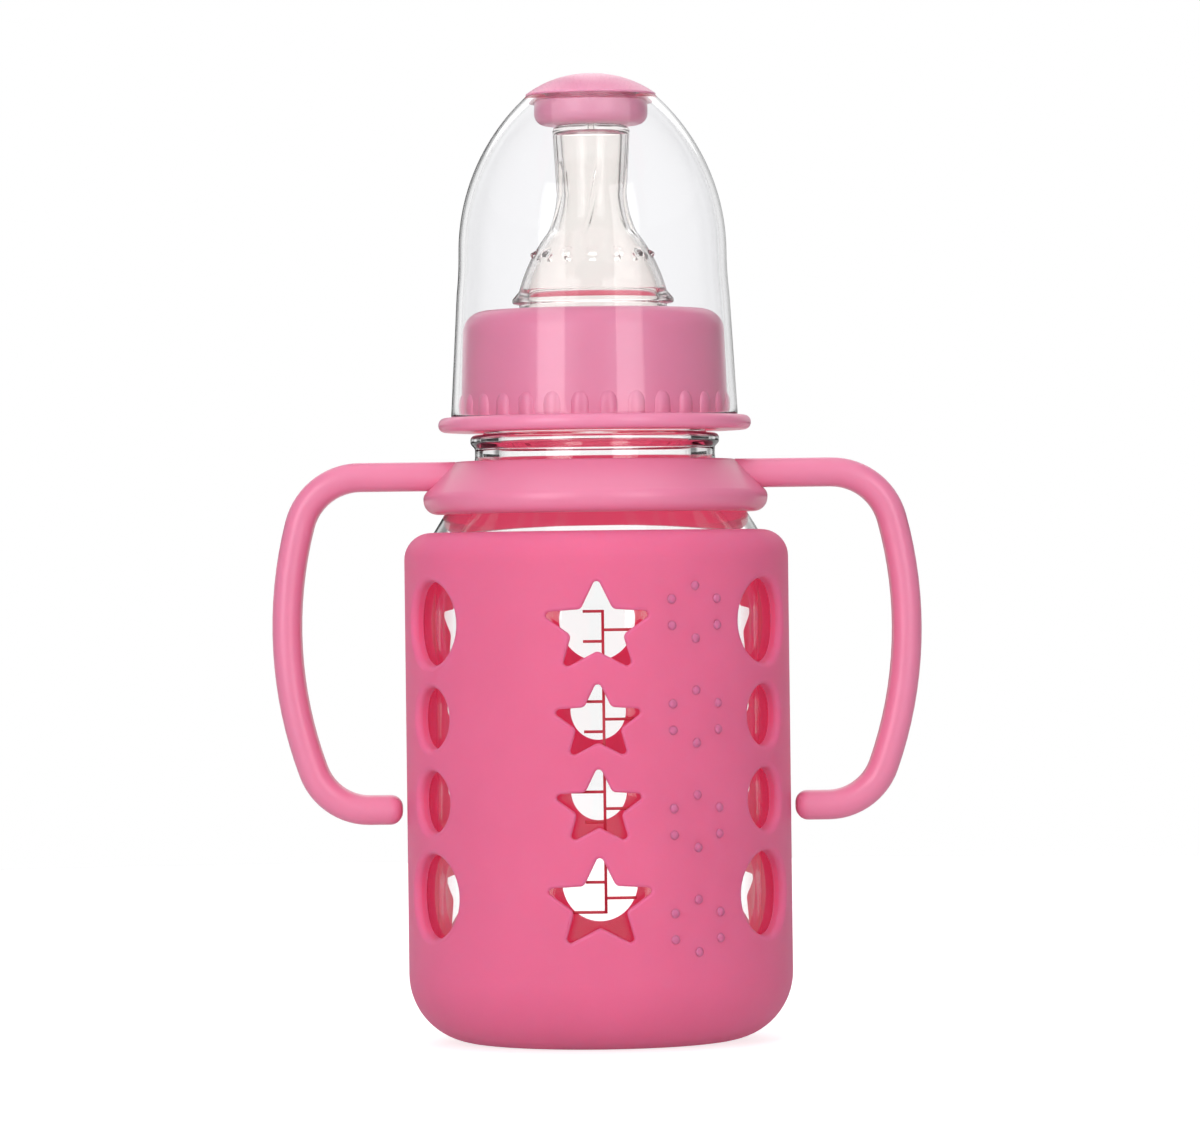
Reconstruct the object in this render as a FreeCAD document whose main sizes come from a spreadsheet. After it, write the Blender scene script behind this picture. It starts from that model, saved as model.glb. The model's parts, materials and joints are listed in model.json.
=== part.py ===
import FreeCAD
import Part
import Sketcher
import math
import os
import re

# Baby bottle in a windowed sleeve, built as one FreeCAD document in millimetres.
# +Z is up, the front is -Y, the handles lie along X and the floor is z = 0.

doc = FreeCAD.newDocument("baby_bottle")

# Driving dimensions, one cell and one alias each.
dimensions = {
    # glass bottle
    "glass_radius": 28.6,
    "glass_wall": 2.85,
    "glass_floor": 4.4,
    "glass_heel_round": 8.8,
    "glass_inner_heel_round": 7.0,
    "punt_radius": 14.0,
    "punt_rise": 1.2,
    "body_height": 75.0,
    "shoulder_height": 15.3,
    "shoulder_round": 8.0,
    "inner_shoulder_shift": 0.8,
    "neck_radius": 19.2,
    "neck_length": 2.3,
    "neck_round": 2.5,
    "bead_overhang": 1.1,
    "bead_height": 2.2,
    "bead_round": 0.9,
    "finish_radius": 17.8,
    "finish_height": 16.5,
    "mouth_radius": 15.4,
    "rim_round": 0.8,
    # silicone sleeve
    "sleeve_wall": 2.0,
    "sleeve_fit": 0.1,
    "sleeve_cover": 4.3,
    "sleeve_shoulder_round": 4.3,
    "drain_radius": 12.0,
    "window_row_centre": 45.5,
    "inner_row_offset": 6.6,
    "outer_row_offset": 21.5,
    "large_star_radius": 8.0,
    "small_star_radius": 6.75,
    "star_waist": 0.45,
    "star_stretch": 1.18,
    "star_tip_round": 0.6,
    "star_notch_round": 1.0,
    "star_rim_round": 0.5,
    "large_window_radius": 6.7,
    "small_window_radius": 4.9,
    "window_rim_round": 0.9,
    # handle ring
    "ring_gap": 0.25,
    "ring_rise": 0.3,
    "ring_height": 8.4,
    "ring_top_width": 2.9,
    "ring_skirt_overhang": 8.15,
    "ring_skirt_drop": 5.4,
    "ring_skirt_tuck": 0.3,
    "ring_foot_round": 2.2,
    "ring_skirt_round": 1.6,
    "ring_top_round": 0.9,
    "handle_bar": 4.6,
    "handle_depth": 8.6,
    "handle_drop": 2.3,
    "handle_height": 53.2,
    "handle_belly": 24.4,
    "finger_gap": 16.55,
    "handle_top_bend": 10.0,
    "handle_side_bend": 66.0,
    "handle_low_bend": 9.5,
    "handle_end_round": 1.9,
    "handle_end_gap": 0.75,
    # screw collar
    "thread_room": 1.5,
    "collar_wall": 1.5,
    "collar_draft": 0.55,
    "collar_lip": 1.9,
    "collar_top_round": 3.6,
    "collar_inner_round": 1.6,
    "collar_clear": 0.5,
    "flange_overhang": 3.65,
    "flange_thick": 2.3,
    "flange_round": 1.1,
    "grip_rib_height": 3.6,
    "grip_rib_width": 1.3,
    "grip_rib_proud": 0.25,
    # teat
    "teat_flange_radius": 17.2,
    "teat_flange_thick": 1.3,
    "teat_fit": 0.1,
    "teat_groove_radius": 11.8,
    "teat_bead_proud": 1.1,
    "teat_bead_height": 2.6,
    "teat_bead_round": 0.9,
    "teat_wall": 1.4,
    "teat_breast_height": 9.8,
    "teat_breast_radius": 7.1,
    "teat_breast_bulge": 26.0,
    "teat_waist_radius": 5.6,
    "teat_waist_rise": 6.0,
    "teat_waist_bend": 16.0,
    "teat_tip_radius": 6.2,
    "teat_tip_rise": 11.0,
    "teat_tip_round": 2.2,
    "feed_hole_radius": 0.4,
    # hood and its plug
    "hood_wall": 1.0,
    "hood_fit": 0.35,
    "hood_skirt": 26.3,
    "hood_flare": 1.5,
    "hood_dome": 25.0,
    "hood_top_radius": 10.4,
    "plug_button_rise": 3.6,
    "plug_neck_radius": 7.6,
    "plug_disc_radius": 9.1,
    "plug_disc_round": 0.9,
    "plug_press_gap": 0.1,
}

sheet = doc.addObject("Spreadsheet::Sheet", "sizes")
for row, (name, number) in enumerate(dimensions.items(), start=1):
    sheet.set("A%d" % row, name)
    sheet.set("B%d" % row, str(number))
    sheet.setAlias("B%d" % row, name)
doc.recompute()

# Levels and radii worked out from the driving dimensions, as formulas on the sheet's words.
glass_bottom = "(sleeve_wall + sleeve_fit)"
glass_inside = "(glass_radius - glass_wall)"
shoulder_level = "(%s + body_height)" % glass_bottom
neck_level = "(%s + shoulder_height)" % shoulder_level
bead_level = "(%s + neck_length)" % neck_level
bead_top = "(%s + bead_height)" % bead_level
rim_level = "(%s + finish_height)" % bead_top
cone_slope = "((glass_radius - neck_radius) / shoulder_height)"
sleeve_inside = "(glass_radius + sleeve_fit)"
sleeve_outside = "(%s + sleeve_wall)" % sleeve_inside
sleeve_top = "(%s + sleeve_cover)" % shoulder_level
sleeve_mouth = "(%s - sleeve_cover * %s)" % (sleeve_inside, cone_slope)
ring_top = "(%s + ring_rise)" % neck_level
ring_foot = "(%s - ring_height)" % ring_top
ring_bore = "(neck_radius + ring_gap)"
ring_foot_bore = "(glass_radius + ring_gap - (%s - %s) * %s)" % (ring_foot, shoulder_level, cone_slope)
ring_widest = "(%s + ring_skirt_overhang)" % ring_bore
skirt_level = "(%s - ring_skirt_drop)" % ring_top
handle_level = "(%s - handle_drop)" % ring_top
handle_reach = "(%s + finger_gap + handle_bar / 2)" % sleeve_outside
handle_end = "(%s + handle_end_gap)" % sleeve_outside
handle_foot = "(%s - handle_height)" % handle_level
collar_foot = "(%s + collar_clear)" % bead_top
flange_top = "(%s + flange_thick)" % collar_foot
collar_bore = "(finish_radius + thread_room)"
collar_outside = "(%s + collar_wall)" % collar_bore
collar_skirt = "(%s + collar_draft)" % collar_outside
collar_roof = "(%s + teat_flange_thick + teat_fit)" % rim_level
collar_top = "(%s + collar_lip)" % collar_roof
collar_hole = "(teat_groove_radius + teat_fit)"
flange_radius = "(%s + flange_overhang)" % collar_skirt
teat_flange_top = "(%s + teat_flange_thick)" % rim_level
teat_bead_foot = "(%s + teat_fit)" % collar_top
teat_bead_top = "(%s + teat_bead_height)" % teat_bead_foot
teat_breast_level = "(%s + teat_breast_height)" % teat_bead_top
teat_waist_level = "(%s + teat_waist_rise)" % teat_breast_level
teat_top = "(%s + teat_tip_rise)" % teat_waist_level
hood_foot_radius = "(%s + grip_rib_proud + hood_fit + hood_wall)" % collar_skirt
hood_shoulder = "(%s - hood_flare)" % hood_foot_radius
hood_shoulder_level = "(%s + hood_skirt)" % flange_top
hood_top = "(%s + hood_dome)" % hood_shoulder_level
hood_roof = "(%s - hood_wall)" % hood_top
hood_in = "(%s - hood_top_radius)" % hood_shoulder
hood_dome_bend = "((%s ^ 2 + hood_dome ^ 2) / (2 * %s))" % (hood_in, hood_in)
hood_shoulder_inner = "(%s - hood_wall)" % hood_shoulder
hood_roof_radius = "(%s - %s + sqrt((%s - hood_wall) ^ 2 - (hood_dome - hood_wall) ^ 2))" % (
    hood_shoulder, hood_dome_bend, hood_dome_bend)
hood_foot_inner = "(%s - hood_wall)" % hood_foot_radius
plug_bend = "((hood_top_radius ^ 2 + plug_button_rise ^ 2) / (2 * plug_button_rise))"


# Helpers: words to cells, numbers from formulas, sketches whose points follow the sheet.
def cells(text):
    def cell(match):
        word = match.group()
        return "sizes." + word if word in dimensions else word
    return re.sub(r"[a-z_]+", cell, text)


known_numbers = {}


def number_of(text):
    if text not in known_numbers:
        known_numbers[text] = float(sheet.evalExpression(cells(text)))
    return known_numbers[text]


def new_body(node):
    body = doc.addObject("PartDesign::Body", node)
    body.Label = node
    return body


def origin_of(body, role):
    return [item for item in body.Origin.OriginFeatures if item.Role == role][0]


def new_sketch(body, name, plane="XZ_Plane", turn=0.0, shift=None):
    sketch = body.newObject("Sketcher::SketchObject", name)
    sketch.AttachmentSupport = [(origin_of(body, plane), "")]
    sketch.MapMode = "FlatFace"
    turned = FreeCAD.Rotation(FreeCAD.Vector(0, 1, 0), turn)
    sketch.AttachmentOffset = FreeCAD.Placement(FreeCAD.Vector(0, 0, 0), turned)
    if shift:
        sketch.setExpression("AttachmentOffset.Base.z", cells(shift))
    return sketch


def bind(sketch, kind, places, text):
    index = sketch.addConstraint(Sketcher.Constraint(kind, *places, number_of(text)))
    sketch.setExpression("Constraints[%d]" % index, cells(text))


def place_point(sketch, geometry, end, across, up):
    for kind, axis, text in (("DistanceX", -2, across), ("DistanceY", -1, up)):
        if text == "0":
            sketch.addConstraint(Sketcher.Constraint("PointOnObject", geometry, end, axis))
        else:
            bind(sketch, kind, (-1, 1, geometry, end), text)


def arc_between(start, finish, radius, bulge_left):
    # the short arc from start to finish that bows to the left or right of the way there
    chord = finish - start
    middle = (start + finish) * 0.5
    depth = math.sqrt(max(radius ** 2 - (chord.Length / 2) ** 2, 0.0))
    left = FreeCAD.Vector(-chord.y, chord.x, 0).normalize()
    centre = middle - left * depth if bulge_left else middle + left * depth
    circle = Part.Circle(centre, FreeCAD.Vector(0, 0, 1), radius)
    first, last = (finish, start) if bulge_left else (start, finish)
    from_angle = math.atan2(first.y - centre.y, first.x - centre.x)
    to_angle = math.atan2(last.y - centre.y, last.x - centre.x)
    if to_angle < from_angle:
        to_angle += 2 * math.pi
    return Part.ArcOfCircle(circle, from_angle, to_angle)


def outline(sketch, corners):
    # a closed outline: each corner is (radius, height), and may add (bend, "left" or "right")
    spots = [FreeCAD.Vector(number_of(c[0]), number_of(c[1]), 0) for c in corners]
    sides = []
    for index, corner in enumerate(corners):
        start, finish = spots[index], spots[(index + 1) % len(spots)]
        if len(corner) == 2:
            geometry = sketch.addGeometry(Part.LineSegment(start, finish))
            sides.append((geometry, 1, 2))
            continue
        bulge_left = corner[3] == "left"
        geometry = sketch.addGeometry(arc_between(start, finish, number_of(corner[2]), bulge_left))
        sides.append((geometry, 2, 1) if bulge_left else (geometry, 1, 2))
    for index, side in enumerate(sides):
        after = sides[(index + 1) % len(sides)]
        sketch.addConstraint(Sketcher.Constraint("Coincident", side[0], side[2], after[0], after[1]))
    for index, corner in enumerate(corners):
        place_point(sketch, sides[index][0], sides[index][1], corner[0], corner[1])
        if len(corner) > 2:
            bind(sketch, "Radius", (sides[index][0],), corner[2])
    return sketch


def turned(body, name, corners):
    sketch = outline(new_sketch(body, name + "_profile"), corners)
    feature = body.newObject("PartDesign::Revolution", name + "_turned")
    feature.Profile = sketch
    feature.ReferenceAxis = (sketch, ["V_Axis"])
    feature.Angle = 360.0
    sketch.Visibility = False
    doc.recompute()
    return feature


def round_edges(body, name, edges, text):
    base = body.Tip
    feature = body.newObject("PartDesign::Fillet", name)
    feature.Base = (base, edges)
    feature.Radius = number_of(text)
    feature.setExpression("Radius", cells(text))
    doc.recompute()
    return feature


def circles_at(body, *places):
    # the edges that run round Z at the given (radius, height) corners
    wanted = [(number_of(radius), number_of(height)) for radius, height in places]
    found = []
    for index, edge in enumerate(body.Tip.Shape.Edges, start=1):
        if edge.Degenerated or not isinstance(edge.Curve, Part.Circle):
            continue
        centre = edge.Curve.Center
        if abs(centre.x) + abs(centre.y) > 1e-4:
            continue
        for radius, height in wanted:
            if abs(edge.Curve.Radius - radius) < 1e-3 and abs(centre.z - height) < 1e-3:
                found.append("Edge%d" % index)
    return found


def edges_where(body, test):
    return ["Edge%d" % index for index, edge in enumerate(body.Tip.Shape.Edges, start=1) if test(edge)]


def cut_outward(body, name, sketch, depth):
    feature = body.newObject("PartDesign::Pocket", name)
    feature.Profile = sketch
    feature.Reversed = True
    feature.Length = number_of(depth)
    feature.setExpression("Length", cells(depth))
    sketch.Visibility = False
    doc.recompute()
    return feature


def around_z(body, name, originals, count):
    feature = body.newObject("PartDesign::PolarPattern", name)
    feature.Originals = originals
    feature.Axis = (origin_of(body, "Z_Axis"), [""])
    feature.Angle = 360.0
    feature.Occurrences = count
    body.Tip = feature
    doc.recompute()
    return feature


# Glass bottle: heel, straight body, cone shoulder, neck with its bead, and the plain finish.
glass = new_body("glass_bottle")
inner_shoulder_foot = "(%s - inner_shoulder_shift)" % shoulder_level
inner_shoulder_head = "(%s + inner_shoulder_shift)" % neck_level
glass_inner_floor = "(%s + glass_floor)" % glass_bottom
bead_radius = "(neck_radius + bead_overhang)"
turned(glass, "glass", [
    ("0", "%s + punt_rise" % glass_bottom),
    ("punt_radius", glass_bottom),
    ("glass_radius", glass_bottom),
    ("glass_radius", shoulder_level),
    ("neck_radius", neck_level),
    ("neck_radius", bead_level),
    (bead_radius, bead_level),
    (bead_radius, bead_top),
    ("finish_radius", bead_top),
    ("finish_radius", rim_level),
    ("mouth_radius", rim_level),
    ("mouth_radius", inner_shoulder_head),
    (glass_inside, inner_shoulder_foot),
    (glass_inside, glass_inner_floor),
    ("0", glass_inner_floor),
])
round_edges(glass, "glass_heel", circles_at(glass, ("glass_radius", glass_bottom)), "glass_heel_round")
round_edges(glass, "glass_inner_heel", circles_at(glass, (glass_inside, glass_inner_floor)),
            "glass_inner_heel_round")
round_edges(glass, "glass_shoulder", circles_at(
    glass, ("glass_radius", shoulder_level), (glass_inside, inner_shoulder_foot)), "shoulder_round")
round_edges(glass, "glass_neck", circles_at(
    glass, ("mouth_radius", inner_shoulder_head)), "neck_round")
round_edges(glass, "glass_bead", circles_at(
    glass, (bead_radius, bead_level), (bead_radius, bead_top)), "bead_round")
round_edges(glass, "glass_rim", circles_at(
    glass, ("finish_radius", rim_level), ("mouth_radius", rim_level)), "rim_round")

# Silicone sleeve: a cup that follows the glass, cut by columns of star and round windows.
sleeve = new_body("silicone_sleeve")
turned(sleeve, "sleeve", [
    ("drain_radius", "0"),
    (sleeve_outside, "0"),
    (sleeve_outside, sleeve_top),
    (sleeve_mouth, sleeve_top),
    (sleeve_inside, shoulder_level),
    (sleeve_inside, "sleeve_wall"),
    ("drain_radius", "sleeve_wall"),
])
round_edges(sleeve, "sleeve_inner_heel", circles_at(sleeve, (sleeve_inside, "sleeve_wall")),
            "glass_heel_round + sleeve_fit")
round_edges(sleeve, "sleeve_heel", circles_at(sleeve, (sleeve_outside, "0")),
            "glass_heel_round + sleeve_fit + sleeve_wall")
round_edges(sleeve, "sleeve_inner_shoulder", circles_at(sleeve, (sleeve_inside, shoulder_level)),
            "shoulder_round + sleeve_fit")
round_edges(sleeve, "sleeve_shoulder", circles_at(sleeve, (sleeve_outside, sleeve_top)),
            "min(sleeve_shoulder_round; %s - %s - 0.2)" % (sleeve_outside, sleeve_mouth))


def star_at(sketch, centre, radius):
    # half the corners are placed from the sheet, and the other half mirror them
    def corner(share, degrees):
        along = "%s * %s * star_stretch * %.9f" % (radius, share, math.sin(math.radians(degrees)))
        up = "%s + %s * %s * %.9f" % (centre, radius, share, math.cos(math.radians(degrees)))
        return along, up
    right = [("0", "%s + %s" % (centre, radius))]
    for degrees, share in ((36, "star_waist"), (72, "1"), (108, "star_waist"), (144, "1")):
        right.append(corner(share, degrees))
    right.append(("0", "%s - %s * star_waist" % (centre, radius)))
    spots = [FreeCAD.Vector(number_of(x), number_of(y), 0) for x, y in right]
    spots += [FreeCAD.Vector(-spot.x, spot.y, 0) for spot in reversed(spots[1:-1])]
    lines = []
    for index, spot in enumerate(spots):
        finish = spots[(index + 1) % len(spots)]
        lines.append(sketch.addGeometry(Part.LineSegment(spot, finish)))
    for index, line in enumerate(lines):
        after = lines[(index + 1) % len(lines)]
        sketch.addConstraint(Sketcher.Constraint("Coincident", line, 2, after, 1))
    for line, (across, up) in zip(lines, right):
        place_point(sketch, line, 1, across, up)
    for index in range(1, len(right) - 1):
        mirrored = lines[len(spots) - index]
        sketch.addConstraint(Sketcher.Constraint("Symmetric", lines[index], 1, mirrored, 1, -2))


window_rows = [
    ("window_row_centre + outer_row_offset", "large"),
    ("window_row_centre + inner_row_offset", "small"),
    ("window_row_centre - inner_row_offset", "small"),
    ("window_row_centre - outer_row_offset", "large"),
]
window_columns = 3


def star_centre(level, size):
    # sets the middle of the star's height on its row
    return "(%s - %s_star_radius * %.9f)" % (level, size, (1 - math.cos(math.radians(36))) / 2)


cut_depth = "%s + sleeve_wall" % sleeve_outside
star_sketch = new_sketch(sleeve, "star_windows")
for level, size in window_rows:
    star_at(star_sketch, star_centre(level, size), size + "_star_radius")
star_cut = cut_outward(sleeve, "star_cut", star_sketch, cut_depth)
around_z(sleeve, "star_columns", [star_cut], window_columns)


def star_corner(edge, share):
    # the straight edges of a star window that run through the wall at its tips or notches
    if not isinstance(edge.Curve, Part.Line) or abs(edge.tangentAt(edge.FirstParameter).z) > 1e-6:
        return False
    spot = edge.Vertexes[0].Point
    way = edge.tangentAt(edge.FirstParameter)
    side = abs(spot.x * way.y - spot.y * way.x) / number_of("star_stretch")
    for level, size in window_rows:
        radius = number_of(size + "_star_radius") * share
        if abs(math.hypot(side, spot.z - number_of(star_centre(level, size))) - radius) < 1e-3:
            return True
    return False


round_edges(sleeve, "star_tips", edges_where(sleeve, lambda edge: star_corner(edge, 1.0)), "star_tip_round")
round_edges(sleeve, "star_notches", edges_where(
    sleeve, lambda edge: star_corner(edge, number_of("star_waist"))), "star_notch_round")


def on_outside(edge):
    radius = number_of(sleeve_outside)
    if isinstance(edge.Curve, Part.Line):
        return False
    middle = edge.valueAt((edge.FirstParameter + edge.LastParameter) / 2)
    spots = [vertex.Point for vertex in edge.Vertexes] + [middle]
    if isinstance(edge.Curve, Part.Circle) and math.hypot(edge.Curve.Center.x, edge.Curve.Center.y) < 1e-4:
        return False
    return all(abs(math.hypot(spot.x, spot.y) - radius) < 1e-3 for spot in spots)


round_edges(sleeve, "star_rims", edges_where(sleeve, on_outside), "star_rim_round")

round_sketch = new_sketch(sleeve, "round_windows", turn=60.0)
for level, size in window_rows:
    circle = Part.Circle(FreeCAD.Vector(0, number_of(level), 0), FreeCAD.Vector(0, 0, 1),
                         number_of(size + "_window_radius"))
    hole = round_sketch.addGeometry(circle)
    round_sketch.addConstraint(Sketcher.Constraint("PointOnObject", hole, 3, -2))
    bind(round_sketch, "DistanceY", (-1, 1, hole, 3), level)
    bind(round_sketch, "Radius", (hole,), size + "_window_radius")
round_cut = cut_outward(sleeve, "round_cut", round_sketch, cut_depth)
around_z(sleeve, "round_columns", [round_cut], window_columns)
round_edges(sleeve, "round_rims", edges_where(sleeve, on_outside), "window_rim_round")

# Handle ring: a cone skirt on the glass shoulder with two bent handles in one moulding.
ring = new_body("handle_ring")
skirt_foot = "(%s - ring_skirt_tuck)" % ring_widest
ring_top_edge = "(%s + ring_top_width)" % ring_bore
turned(ring, "ring", [
    (ring_bore, ring_top),
    (ring_bore, neck_level),
    (ring_foot_bore, ring_foot),
    (skirt_foot, ring_foot),
    (ring_widest, skirt_level),
    (ring_top_edge, ring_top),
])
round_edges(ring, "ring_foot_edge", circles_at(ring, (skirt_foot, ring_foot)), "ring_foot_round")
round_edges(ring, "ring_skirt_edge", circles_at(ring, (ring_widest, skirt_level)), "ring_skirt_round")
round_edges(ring, "ring_top_edge", circles_at(ring, (ring_top_edge, ring_top)), "ring_top_round")


def add_handle(side, turn):
    # the bar's path: out from the skirt, round the top bend, down the belly, and back in
    belly_level = number_of("%s - handle_belly" % handle_level)
    top, low = number_of(handle_level), number_of(handle_foot)
    reach, bends = number_of(handle_reach), [number_of("handle_%s_bend" % w) for w in ("top", "side", "low")]
    middle = FreeCAD.Vector(reach - bends[1], belly_level, 0)
    up_z, low_z = top - bends[0], low + bends[2]
    up_x = middle.x + math.sqrt((bends[1] - bends[0]) ** 2 - (up_z - belly_level) ** 2)
    low_x = middle.x + math.sqrt((bends[1] - bends[2]) ** 2 - (low_z - belly_level) ** 2)
    up = FreeCAD.Vector(up_x, up_z, 0)
    down = FreeCAD.Vector(low_x, low_z, 0)
    up_angle = math.atan2(up.y - middle.y, up.x - middle.x)
    down_angle = math.atan2(down.y - middle.y, down.x - middle.x)
    path = new_sketch(ring, side + "_handle_path", turn=turn)
    axis = FreeCAD.Vector(0, 0, 1)
    root = "(%s + ring_top_width)" % ring_bore
    arm = path.addGeometry(Part.LineSegment(
        FreeCAD.Vector(number_of(root), top, 0), FreeCAD.Vector(up_x, top, 0)))
    bend_top = path.addGeometry(Part.ArcOfCircle(Part.Circle(up, axis, bends[0]), up_angle, math.pi / 2))
    belly = path.addGeometry(Part.ArcOfCircle(Part.Circle(middle, axis, bends[1]), down_angle, up_angle))
    bend_low = path.addGeometry(Part.ArcOfCircle(
        Part.Circle(down, axis, bends[2]), -math.pi / 2, down_angle))
    foot = path.addGeometry(Part.LineSegment(
        FreeCAD.Vector(low_x, low, 0), FreeCAD.Vector(number_of(handle_end), low, 0)))
    path.addConstraint(Sketcher.Constraint("Horizontal", arm))
    path.addConstraint(Sketcher.Constraint("Horizontal", foot))
    path.addConstraint(Sketcher.Constraint("Tangent", arm, 2, bend_top, 2))
    path.addConstraint(Sketcher.Constraint("Tangent", bend_top, 1, belly, 2))
    path.addConstraint(Sketcher.Constraint("Tangent", belly, 1, bend_low, 2))
    path.addConstraint(Sketcher.Constraint("Tangent", bend_low, 1, foot, 1))
    for geometry, word in ((bend_top, "top"), (belly, "side"), (bend_low, "low")):
        bind(path, "Radius", (geometry,), "handle_%s_bend" % word)
    place_point(path, arm, 1, root, handle_level)
    bind(path, "DistanceY", (-1, 1, belly, 3), "%s - handle_belly" % handle_level)
    bind(path, "DistanceX", (belly, 3, -1, 1), "handle_side_bend - %s" % handle_reach)
    place_point(path, foot, 2, handle_end, handle_foot)
    section = new_sketch(ring, side + "_handle_section", plane="YZ_Plane", shift=root)
    if turn:
        section.AttachmentOffset = FreeCAD.Placement(
            FreeCAD.Vector(0, 0, 0), FreeCAD.Rotation(FreeCAD.Vector(0, 1, 0), turn))
        section.setExpression("AttachmentOffset.Base.z", cells("-1 * " + root))
    bar, flat = number_of("handle_bar / 2"), number_of("(handle_depth - handle_bar) / 2")
    left_end = section.addGeometry(Part.ArcOfCircle(
        Part.Circle(FreeCAD.Vector(-flat, top, 0), axis, bar), math.pi / 2, 3 * math.pi / 2))
    right_end = section.addGeometry(Part.ArcOfCircle(
        Part.Circle(FreeCAD.Vector(flat, top, 0), axis, bar), -math.pi / 2, math.pi / 2))
    low_side = section.addGeometry(Part.LineSegment(
        FreeCAD.Vector(-flat, top - bar, 0), FreeCAD.Vector(flat, top - bar, 0)))
    top_side = section.addGeometry(Part.LineSegment(
        FreeCAD.Vector(flat, top + bar, 0), FreeCAD.Vector(-flat, top + bar, 0)))
    section.addConstraint(Sketcher.Constraint("Tangent", left_end, 2, low_side, 1))
    section.addConstraint(Sketcher.Constraint("Tangent", low_side, 2, right_end, 1))
    section.addConstraint(Sketcher.Constraint("Tangent", right_end, 2, top_side, 1))
    section.addConstraint(Sketcher.Constraint("Tangent", top_side, 2, left_end, 1))
    section.addConstraint(Sketcher.Constraint("Symmetric", left_end, 3, right_end, 3, -2))
    section.addConstraint(Sketcher.Constraint("Horizontal", low_side))
    bind(section, "Radius", (right_end,), "handle_bar / 2")
    bind(section, "DistanceX", (left_end, 3, right_end, 3), "handle_depth - handle_bar")
    bind(section, "DistanceY", (-1, 1, right_end, 3), handle_level)
    doc.recompute()
    bar_sweep = ring.newObject("PartDesign::AdditivePipe", side + "_handle")
    bar_sweep.Profile = section
    bar_sweep.Spine = (path, ["Edge%d" % (index + 1) for index in range(5)])
    bar_sweep.Mode = "Frenet"
    path.Visibility = False
    section.Visibility = False
    doc.recompute()


add_handle("right", 0.0)
add_handle("left", 180.0)


def handle_tip(edge):
    end = number_of(handle_end)
    return all(abs(abs(vertex.Point.x) - end) < 1e-3 for vertex in edge.Vertexes) and (
        edge.CenterOfMass.z < number_of("%s + handle_bar" % handle_foot))


round_edges(ring, "handle_tips", edges_where(ring, handle_tip), "handle_end_round")

# Screw collar: roof with the teat's hole, skirt, foot flange and short grip ribs.
collar = new_body("screw_collar")
turned(collar, "collar", [
    (collar_bore, collar_foot),
    (flange_radius, collar_foot),
    (flange_radius, flange_top),
    (collar_skirt, flange_top),
    (collar_outside, collar_top),
    (collar_hole, collar_top),
    (collar_hole, collar_roof),
    (collar_bore, collar_roof),
])
round_edges(collar, "collar_top_edge", circles_at(collar, (collar_outside, collar_top)), "collar_top_round")
round_edges(collar, "collar_inner_edge", circles_at(collar, (collar_bore, collar_roof)),
            "collar_inner_round")
round_edges(collar, "flange_edge", circles_at(
    collar, (flange_radius, collar_foot), (flange_radius, flange_top)), "flange_round")

rib_sketch = new_sketch(collar, "grip_rib_outline", plane="XY_Plane")
rib_sketch.setExpression("AttachmentOffset.Base.z", cells(flange_top))
rib_out = "(%s + grip_rib_proud)" % collar_skirt
rib_in = "(%s - collar_draft)" % collar_skirt
spots = [(rib_in, -1), (rib_out, -1), (rib_out, 1), (rib_in, 1)]
half = number_of("grip_rib_width / 2")
corners = [FreeCAD.Vector(number_of(radius), side * half, 0) for radius, side in spots]
rib_lines = [rib_sketch.addGeometry(Part.LineSegment(corners[i], corners[(i + 1) % 4])) for i in range(4)]
for index in range(4):
    after = rib_lines[(index + 1) % 4]
    rib_sketch.addConstraint(Sketcher.Constraint("Coincident", rib_lines[index], 2, after, 1))
for index in (0, 2):
    rib_sketch.addConstraint(Sketcher.Constraint("Horizontal", rib_lines[index]))
rib_sketch.addConstraint(Sketcher.Constraint("Vertical", rib_lines[3]))
rib_sketch.addConstraint(Sketcher.Constraint("Symmetric", rib_lines[1], 1, rib_lines[1], 2, -1))
bind(rib_sketch, "DistanceX", (-1, 1, rib_lines[0], 1), rib_in)
bind(rib_sketch, "DistanceX", (-1, 1, rib_lines[1], 1), rib_out)
bind(rib_sketch, "DistanceY", (rib_lines[1], 1, rib_lines[1], 2), "grip_rib_width")
rib = collar.newObject("PartDesign::Pad", "grip_rib")
rib.Profile = rib_sketch
rib.Length = number_of("grip_rib_height")
rib.setExpression("Length", cells("grip_rib_height"))
rib_sketch.Visibility = False
doc.recompute()
rib_count = 30
around_z(collar, "grip_ribs", [rib], rib_count)

# Teat: flange on the rim, groove for the collar's roof, bead, breast, waist and tip, hollow right through.
teat = new_body("teat")
teat_bore = "(teat_groove_radius - teat_wall)"
teat_bead_radius = "(teat_groove_radius + teat_bead_proud)"
teat_inner_top = "(%s - teat_wall)" % teat_top
turned(teat, "teat", [
    (teat_bore, rim_level),
    ("teat_flange_radius", rim_level),
    ("teat_flange_radius", teat_flange_top),
    ("teat_groove_radius", teat_flange_top),
    ("teat_groove_radius", teat_bead_foot),
    (teat_bead_radius, teat_bead_foot),
    (teat_bead_radius, teat_bead_top),
    ("teat_groove_radius", teat_bead_top, "teat_breast_bulge", "right"),
    ("teat_breast_radius", teat_breast_level, "teat_waist_bend", "left"),
    ("teat_waist_radius", teat_waist_level),
    ("teat_tip_radius", teat_top),
    ("feed_hole_radius", teat_top),
    ("feed_hole_radius", teat_inner_top),
    ("teat_tip_radius - teat_wall", teat_inner_top),
    ("teat_waist_radius - teat_wall", teat_waist_level, "teat_waist_bend + teat_wall", "right"),
    ("teat_breast_radius - teat_wall", teat_breast_level, "teat_breast_bulge - teat_wall", "left"),
    (teat_bore, teat_bead_top),
])
round_edges(teat, "teat_tip_edge", circles_at(teat, ("teat_tip_radius", teat_top)), "teat_tip_round")
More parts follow.
